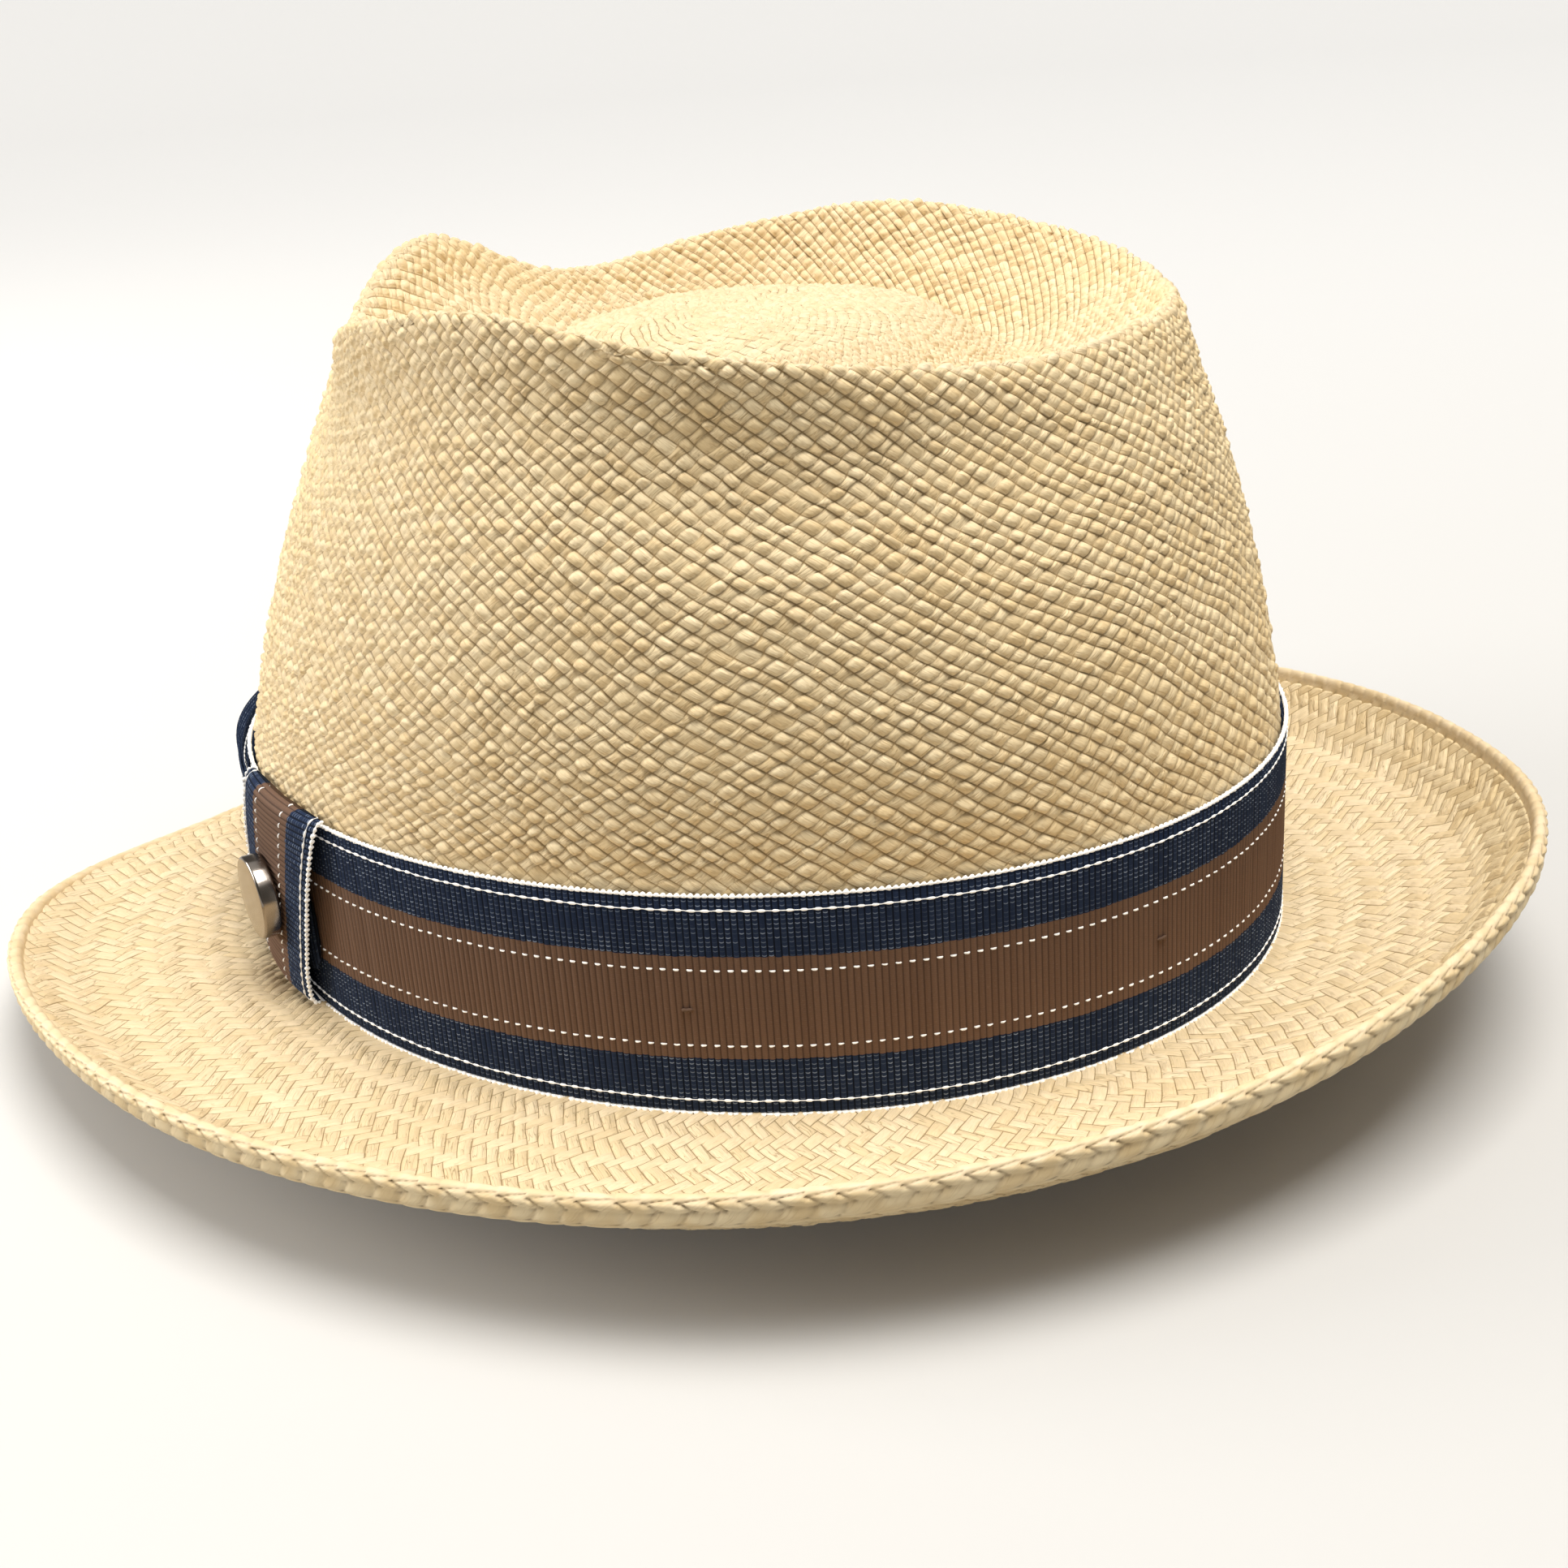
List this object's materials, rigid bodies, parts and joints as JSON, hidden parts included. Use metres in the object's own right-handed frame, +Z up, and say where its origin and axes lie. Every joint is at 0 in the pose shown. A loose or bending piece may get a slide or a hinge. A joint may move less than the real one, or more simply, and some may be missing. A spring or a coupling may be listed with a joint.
{
  "type": "fedora hat",
  "caption": "Woven straw fedora with a pinched teardrop crown, snap brim, striped ribbon hatband, side bow with a wrapped knot and round metal pin, and an inner sweatband.",
  "frame": {"origin": "middle of the bottom of the hat's box, where the brim's lowest edge touches a table; the head opening's centre is 10.2 mm above it and 1.0 mm forward", "axes": "+Z up through the crown, -Y to the front of the hat, +X to the wearer's left"},
  "size_m": [0.2692, 0.2918, 0.1352],
  "materials": {
    "straw": "natural woven straw, satin fibres",
    "ribbon": "ribbed striped grosgrain, navy and brown with white stitching",
    "ribbon_navy": "ribbed navy grosgrain",
    "sweatband_leather": "smooth satin tan leather",
    "reed": "smooth",
    "thread": "twisted cotton",
    "sweatband_ribbon": "narrow satin-edged ribbon",
    "label": "woven satin, blank",
    "brown_thread": "twisted cotton",
    "gunmetal": "polished gunmetal",
    "post_steel": "drawn wire",
    "clutch_brass": "stamped"
  },
  "bodies": {
    "root": {"straw_body": "straw", "rim_braid": "straw", "sweatband": "sweatband_leather", "sweatband_reed": "reed", "sweatband_stitch": "thread", "sweatband_bow_knot": "sweatband_ribbon", "sweatband_bow_left": "sweatband_ribbon", "sweatband_bow_right": "sweatband_ribbon", "size_label": "label", "hatband": "ribbon", "bow_loop": "ribbon", "bow_tail": "ribbon", "bow_inner_fold": "ribbon_navy", "bow_knot": "ribbon", "tack_stitch_1": "brown_thread", "tack_stitch_2": "brown_thread", "tack_stitch_3": "brown_thread", "tack_stitch_4": "brown_thread", "tack_stitch_5": "brown_thread", "tack_stitch_6": "brown_thread"},
    "clutch": {"pin_clutch": "clutch_brass"},
    "pin": {"pin_button": "gunmetal", "pin_post": "post_steel"}
  },
  "joints": [
    {"name": "pin_spin", "type": "hinge", "parent": "root", "child": "clutch", "pos_m": [0.07328, -0.05729, 0.02971], "axis": [0.8638, -0.5039, 0], "continuous": true},
    {"name": "pin_pull", "type": "slide", "parent": "clutch", "child": "pin", "axis": [0.8638, -0.5039, 0], "range_m": [0, 0.008]}
  ]
}
